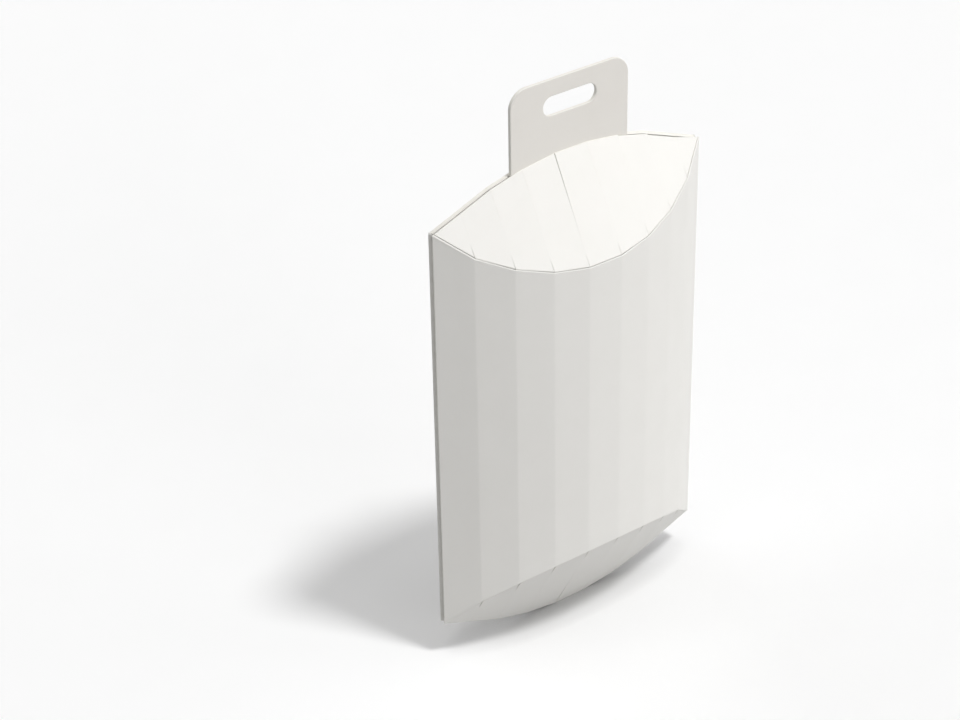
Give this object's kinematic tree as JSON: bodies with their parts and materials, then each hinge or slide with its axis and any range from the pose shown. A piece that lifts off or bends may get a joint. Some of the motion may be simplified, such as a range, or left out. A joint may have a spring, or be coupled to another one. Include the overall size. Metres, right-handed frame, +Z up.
{
  "type": "pillow box",
  "caption": "White card pillow box with bowed, flat-stripped panels, curved end flaps whose leaves open on their creases, a glued side seam and a slotted hang tab.",
  "frame": {"origin": "middle of the footprint, at the lowest edge of the bottom flaps", "axes": "+Z up along the box, towards the hang tab; +Y from the front panel to the back panel; +X across the box to the glued side"},
  "size_m": [0.1206, 0.0442, 0.2269],
  "materials": {
    "white_board": "matte coated board",
    "adhesive": "dried adhesive film"
  },
  "bodies": {
    "sleeve": {"front_panel": "white_board", "back_panel": "white_board", "glue_flap": "white_board", "glue_line": "adhesive"},
    "top_front_leaf_5": {"top_front_leaf_5": "white_board"},
    "top_front_leaf_1": {"top_front_leaf_1": "white_board"},
    "top_front_leaf_2": {"top_front_leaf_2": "white_board"},
    "top_front_leaf_3": {"top_front_leaf_3": "white_board"},
    "top_front_leaf_4": {"top_front_leaf_4": "white_board"},
    "top_front_leaf_6": {"top_front_leaf_6": "white_board"},
    "top_front_leaf_7": {"top_front_leaf_7": "white_board"},
    "top_front_leaf_8": {"top_front_leaf_8": "white_board"},
    "top_front_leaf_9": {"top_front_leaf_9": "white_board"},
    "top_back_leaf_5": {"top_back_leaf_5": "white_board"},
    "top_back_leaf_1": {"top_back_leaf_1": "white_board"},
    "top_back_leaf_2": {"top_back_leaf_2": "white_board"},
    "top_back_leaf_3": {"top_back_leaf_3": "white_board"},
    "top_back_leaf_4": {"top_back_leaf_4": "white_board"},
    "top_back_leaf_6": {"top_back_leaf_6": "white_board"},
    "top_back_leaf_7": {"top_back_leaf_7": "white_board"},
    "top_back_leaf_8": {"top_back_leaf_8": "white_board"},
    "top_back_leaf_9": {"top_back_leaf_9": "white_board"},
    "bottom_front_leaf_5": {"bottom_front_leaf_5": "white_board"},
    "bottom_front_leaf_1": {"bottom_front_leaf_1": "white_board"},
    "bottom_front_leaf_2": {"bottom_front_leaf_2": "white_board"},
    "bottom_front_leaf_3": {"bottom_front_leaf_3": "white_board"},
    "bottom_front_leaf_4": {"bottom_front_leaf_4": "white_board"},
    "bottom_front_leaf_6": {"bottom_front_leaf_6": "white_board"},
    "bottom_front_leaf_7": {"bottom_front_leaf_7": "white_board"},
    "bottom_front_leaf_8": {"bottom_front_leaf_8": "white_board"},
    "bottom_front_leaf_9": {"bottom_front_leaf_9": "white_board"},
    "bottom_back_leaf_5": {"bottom_back_leaf_5": "white_board"},
    "bottom_back_leaf_1": {"bottom_back_leaf_1": "white_board"},
    "bottom_back_leaf_2": {"bottom_back_leaf_2": "white_board"},
    "bottom_back_leaf_3": {"bottom_back_leaf_3": "white_board"},
    "bottom_back_leaf_4": {"bottom_back_leaf_4": "white_board"},
    "bottom_back_leaf_6": {"bottom_back_leaf_6": "white_board"},
    "bottom_back_leaf_7": {"bottom_back_leaf_7": "white_board"},
    "bottom_back_leaf_8": {"bottom_back_leaf_8": "white_board"},
    "bottom_back_leaf_9": {"bottom_back_leaf_9": "white_board"},
    "hang_tab": {"hang_tab": "white_board"}
  },
  "joints": [
    {"name": "top_front_flap", "type": "hinge", "parent": "sleeve", "child": "top_front_leaf_5", "pos_m": [0, -0.02073, 0.16058], "axis": [1, 0, 0], "range_deg": [0, 29.16]},
    {"name": "top_front_leaf_1_crease", "type": "hinge", "parent": "sleeve", "child": "top_front_leaf_1", "pos_m": [-0.05362, -0.00405, 0.17782], "axis": [0.6745, -0.4646, -0.5737], "range_deg": [0, 35.79]},
    {"name": "top_front_leaf_2_crease", "type": "hinge", "parent": "sleeve", "child": "top_front_leaf_2", "pos_m": [-0.04132, -0.01122, 0.16973], "axis": [0.8256, -0.4013, -0.3967], "range_deg": [0, 31.44]},
    {"name": "top_front_leaf_3_crease", "type": "hinge", "parent": "sleeve", "child": "top_front_leaf_3", "pos_m": [-0.02808, -0.01646, 0.16462], "axis": [0.9186, -0.2858, -0.2729], "range_deg": [0, 30.17]},
    {"name": "top_front_leaf_4_crease", "type": "hinge", "parent": "sleeve", "child": "top_front_leaf_4", "pos_m": [-0.0142, -0.01966, 0.16159], "axis": [0.9789, -0.1487, -0.1401], "range_deg": [0, 29.42]},
    {"name": "top_front_leaf_6_crease", "type": "hinge", "parent": "sleeve", "child": "top_front_leaf_6", "pos_m": [0.0142, -0.01966, 0.16159], "axis": [0.9789, 0.1487, 0.1401], "range_deg": [0, 29.42]},
    {"name": "top_front_leaf_7_crease", "type": "hinge", "parent": "sleeve", "child": "top_front_leaf_7", "pos_m": [0.02808, -0.01646, 0.16462], "axis": [0.9186, 0.2858, 0.2729], "range_deg": [0, 30.17]},
    {"name": "top_front_leaf_8_crease", "type": "hinge", "parent": "sleeve", "child": "top_front_leaf_8", "pos_m": [0.04132, -0.01122, 0.16973], "axis": [0.8256, 0.4013, 0.3967], "range_deg": [0, 31.44]},
    {"name": "top_front_leaf_9_crease", "type": "hinge", "parent": "sleeve", "child": "top_front_leaf_9", "pos_m": [0.05362, -0.00405, 0.17782], "axis": [0.6745, 0.4646, 0.5737], "range_deg": [0, 35.79]},
    {"name": "top_back_flap", "type": "hinge", "parent": "sleeve", "child": "top_back_leaf_5", "pos_m": [0, 0.02073, 0.16058], "axis": [-1, 0, 0], "range_deg": [0, 29.16]},
    {"name": "top_back_leaf_1_crease", "type": "hinge", "parent": "sleeve", "child": "top_back_leaf_1", "pos_m": [-0.05362, 0.00405, 0.17782], "axis": [-0.6745, -0.4646, 0.5737], "range_deg": [0, 35.79]},
    {"name": "top_back_leaf_2_crease", "type": "hinge", "parent": "sleeve", "child": "top_back_leaf_2", "pos_m": [-0.04132, 0.01122, 0.16973], "axis": [-0.8256, -0.4013, 0.3967], "range_deg": [0, 31.44]},
    {"name": "top_back_leaf_3_crease", "type": "hinge", "parent": "sleeve", "child": "top_back_leaf_3", "pos_m": [-0.02808, 0.01646, 0.16462], "axis": [-0.9186, -0.2858, 0.2729], "range_deg": [0, 30.17]},
    {"name": "top_back_leaf_4_crease", "type": "hinge", "parent": "sleeve", "child": "top_back_leaf_4", "pos_m": [-0.0142, 0.01966, 0.16159], "axis": [-0.9789, -0.1487, 0.1401], "range_deg": [0, 29.42]},
    {"name": "top_back_leaf_6_crease", "type": "hinge", "parent": "sleeve", "child": "top_back_leaf_6", "pos_m": [0.0142, 0.01966, 0.16159], "axis": [-0.9789, 0.1487, -0.1401], "range_deg": [0, 29.42]},
    {"name": "top_back_leaf_7_crease", "type": "hinge", "parent": "sleeve", "child": "top_back_leaf_7", "pos_m": [0.02808, 0.01646, 0.16462], "axis": [-0.9186, 0.2858, -0.2729], "range_deg": [0, 30.17]},
    {"name": "top_back_leaf_8_crease", "type": "hinge", "parent": "sleeve", "child": "top_back_leaf_8", "pos_m": [0.04132, 0.01122, 0.16973], "axis": [-0.8256, 0.4013, -0.3967], "range_deg": [0, 31.44]},
    {"name": "top_back_leaf_9_crease", "type": "hinge", "parent": "sleeve", "child": "top_back_leaf_9", "pos_m": [0.05362, 0.00405, 0.17782], "axis": [-0.6745, 0.4646, -0.5737], "range_deg": [0, 35.79]},
    {"name": "bottom_front_flap", "type": "hinge", "parent": "sleeve", "child": "bottom_front_leaf_5", "pos_m": [0, -0.02073, 0.03747], "axis": [-1, 0, 0], "range_deg": [0, 29.16]},
    {"name": "bottom_front_leaf_1_crease", "type": "hinge", "parent": "sleeve", "child": "bottom_front_leaf_1", "pos_m": [-0.05362, -0.00405, 0.02023], "axis": [-0.6745, 0.4646, -0.5737], "range_deg": [0, 35.79]},
    {"name": "bottom_front_leaf_2_crease", "type": "hinge", "parent": "sleeve", "child": "bottom_front_leaf_2", "pos_m": [-0.04132, -0.01122, 0.02831], "axis": [-0.8256, 0.4013, -0.3967], "range_deg": [0, 31.44]},
    {"name": "bottom_front_leaf_3_crease", "type": "hinge", "parent": "sleeve", "child": "bottom_front_leaf_3", "pos_m": [-0.02808, -0.01646, 0.03342], "axis": [-0.9186, 0.2858, -0.2729], "range_deg": [0, 30.17]},
    {"name": "bottom_front_leaf_4_crease", "type": "hinge", "parent": "sleeve", "child": "bottom_front_leaf_4", "pos_m": [-0.0142, -0.01966, 0.03646], "axis": [-0.9789, 0.1487, -0.1401], "range_deg": [0, 29.42]},
    {"name": "bottom_front_leaf_6_crease", "type": "hinge", "parent": "sleeve", "child": "bottom_front_leaf_6", "pos_m": [0.0142, -0.01966, 0.03646], "axis": [-0.9789, -0.1487, 0.1401], "range_deg": [0, 29.42]},
    {"name": "bottom_front_leaf_7_crease", "type": "hinge", "parent": "sleeve", "child": "bottom_front_leaf_7", "pos_m": [0.02808, -0.01646, 0.03342], "axis": [-0.9186, -0.2858, 0.2729], "range_deg": [0, 30.17]},
    {"name": "bottom_front_leaf_8_crease", "type": "hinge", "parent": "sleeve", "child": "bottom_front_leaf_8", "pos_m": [0.04132, -0.01122, 0.02831], "axis": [-0.8256, -0.4013, 0.3967], "range_deg": [0, 31.44]},
    {"name": "bottom_front_leaf_9_crease", "type": "hinge", "parent": "sleeve", "child": "bottom_front_leaf_9", "pos_m": [0.05362, -0.00405, 0.02023], "axis": [-0.6745, -0.4646, 0.5737], "range_deg": [0, 35.79]},
    {"name": "bottom_back_flap", "type": "hinge", "parent": "sleeve", "child": "bottom_back_leaf_5", "pos_m": [0, 0.02073, 0.03747], "axis": [1, 0, 0], "range_deg": [0, 29.16]},
    {"name": "bottom_back_leaf_1_crease", "type": "hinge", "parent": "sleeve", "child": "bottom_back_leaf_1", "pos_m": [-0.05362, 0.00405, 0.02023], "axis": [0.6745, 0.4646, 0.5737], "range_deg": [0, 35.79]},
    {"name": "bottom_back_leaf_2_crease", "type": "hinge", "parent": "sleeve", "child": "bottom_back_leaf_2", "pos_m": [-0.04132, 0.01122, 0.02831], "axis": [0.8256, 0.4013, 0.3967], "range_deg": [0, 31.44]},
    {"name": "bottom_back_leaf_3_crease", "type": "hinge", "parent": "sleeve", "child": "bottom_back_leaf_3", "pos_m": [-0.02808, 0.01646, 0.03342], "axis": [0.9186, 0.2858, 0.2729], "range_deg": [0, 30.17]},
    {"name": "bottom_back_leaf_4_crease", "type": "hinge", "parent": "sleeve", "child": "bottom_back_leaf_4", "pos_m": [-0.0142, 0.01966, 0.03646], "axis": [0.9789, 0.1487, 0.1401], "range_deg": [0, 29.42]},
    {"name": "bottom_back_leaf_6_crease", "type": "hinge", "parent": "sleeve", "child": "bottom_back_leaf_6", "pos_m": [0.0142, 0.01966, 0.03646], "axis": [0.9789, -0.1487, -0.1401], "range_deg": [0, 29.42]},
    {"name": "bottom_back_leaf_7_crease", "type": "hinge", "parent": "sleeve", "child": "bottom_back_leaf_7", "pos_m": [0.02808, 0.01646, 0.03342], "axis": [0.9186, -0.2858, -0.2729], "range_deg": [0, 30.17]},
    {"name": "bottom_back_leaf_8_crease", "type": "hinge", "parent": "sleeve", "child": "bottom_back_leaf_8", "pos_m": [0.04132, 0.01122, 0.02831], "axis": [0.8256, -0.4013, -0.3967], "range_deg": [0, 31.44]},
    {"name": "bottom_back_leaf_9_crease", "type": "hinge", "parent": "sleeve", "child": "bottom_back_leaf_9", "pos_m": [0.05362, 0.00405, 0.02023], "axis": [0.6745, -0.4646, -0.5737], "range_deg": [0, 35.79]},
    {"name": "hang_tab_fold", "type": "hinge", "parent": "top_front_leaf_5", "child": "hang_tab", "pos_m": [0, -0.00102, 0.1983], "axis": [1, 0, 0], "range_deg": [0, 90]}
  ],
  "couplings": [
    {"joint": "top_front_leaf_1_crease", "follows": "top_front_flap", "ratio": 1.2273},
    {"joint": "top_front_leaf_2_crease", "follows": "top_front_flap", "ratio": 1.0778},
    {"joint": "top_front_leaf_3_crease", "follows": "top_front_flap", "ratio": 1.0344},
    {"joint": "top_front_leaf_4_crease", "follows": "top_front_flap", "ratio": 1.0087},
    {"joint": "top_front_leaf_6_crease", "follows": "top_front_flap", "ratio": 1.0087},
    {"joint": "top_front_leaf_7_crease", "follows": "top_front_flap", "ratio": 1.0344},
    {"joint": "top_front_leaf_8_crease", "follows": "top_front_flap", "ratio": 1.0778},
    {"joint": "top_front_leaf_9_crease", "follows": "top_front_flap", "ratio": 1.2273},
    {"joint": "top_back_leaf_1_crease", "follows": "top_back_flap", "ratio": 1.2273},
    {"joint": "top_back_leaf_2_crease", "follows": "top_back_flap", "ratio": 1.0778},
    {"joint": "top_back_leaf_3_crease", "follows": "top_back_flap", "ratio": 1.0344},
    {"joint": "top_back_leaf_4_crease", "follows": "top_back_flap", "ratio": 1.0087},
    {"joint": "top_back_leaf_6_crease", "follows": "top_back_flap", "ratio": 1.0087},
    {"joint": "top_back_leaf_7_crease", "follows": "top_back_flap", "ratio": 1.0344},
    {"joint": "top_back_leaf_8_crease", "follows": "top_back_flap", "ratio": 1.0778},
    {"joint": "top_back_leaf_9_crease", "follows": "top_back_flap", "ratio": 1.2273},
    {"joint": "bottom_front_leaf_1_crease", "follows": "bottom_front_flap", "ratio": 1.2273},
    {"joint": "bottom_front_leaf_2_crease", "follows": "bottom_front_flap", "ratio": 1.0778},
    {"joint": "bottom_front_leaf_3_crease", "follows": "bottom_front_flap", "ratio": 1.0344},
    {"joint": "bottom_front_leaf_4_crease", "follows": "bottom_front_flap", "ratio": 1.0087},
    {"joint": "bottom_front_leaf_6_crease", "follows": "bottom_front_flap", "ratio": 1.0087},
    {"joint": "bottom_front_leaf_7_crease", "follows": "bottom_front_flap", "ratio": 1.0344},
    {"joint": "bottom_front_leaf_8_crease", "follows": "bottom_front_flap", "ratio": 1.0778},
    {"joint": "bottom_front_leaf_9_crease", "follows": "bottom_front_flap", "ratio": 1.2273},
    {"joint": "bottom_back_leaf_1_crease", "follows": "bottom_back_flap", "ratio": 1.2273},
    {"joint": "bottom_back_leaf_2_crease", "follows": "bottom_back_flap", "ratio": 1.0778},
    {"joint": "bottom_back_leaf_3_crease", "follows": "bottom_back_flap", "ratio": 1.0344},
    {"joint": "bottom_back_leaf_4_crease", "follows": "bottom_back_flap", "ratio": 1.0087},
    {"joint": "bottom_back_leaf_6_crease", "follows": "bottom_back_flap", "ratio": 1.0087},
    {"joint": "bottom_back_leaf_7_crease", "follows": "bottom_back_flap", "ratio": 1.0344},
    {"joint": "bottom_back_leaf_8_crease", "follows": "bottom_back_flap", "ratio": 1.0778},
    {"joint": "bottom_back_leaf_9_crease", "follows": "bottom_back_flap", "ratio": 1.2273}
  ]
}
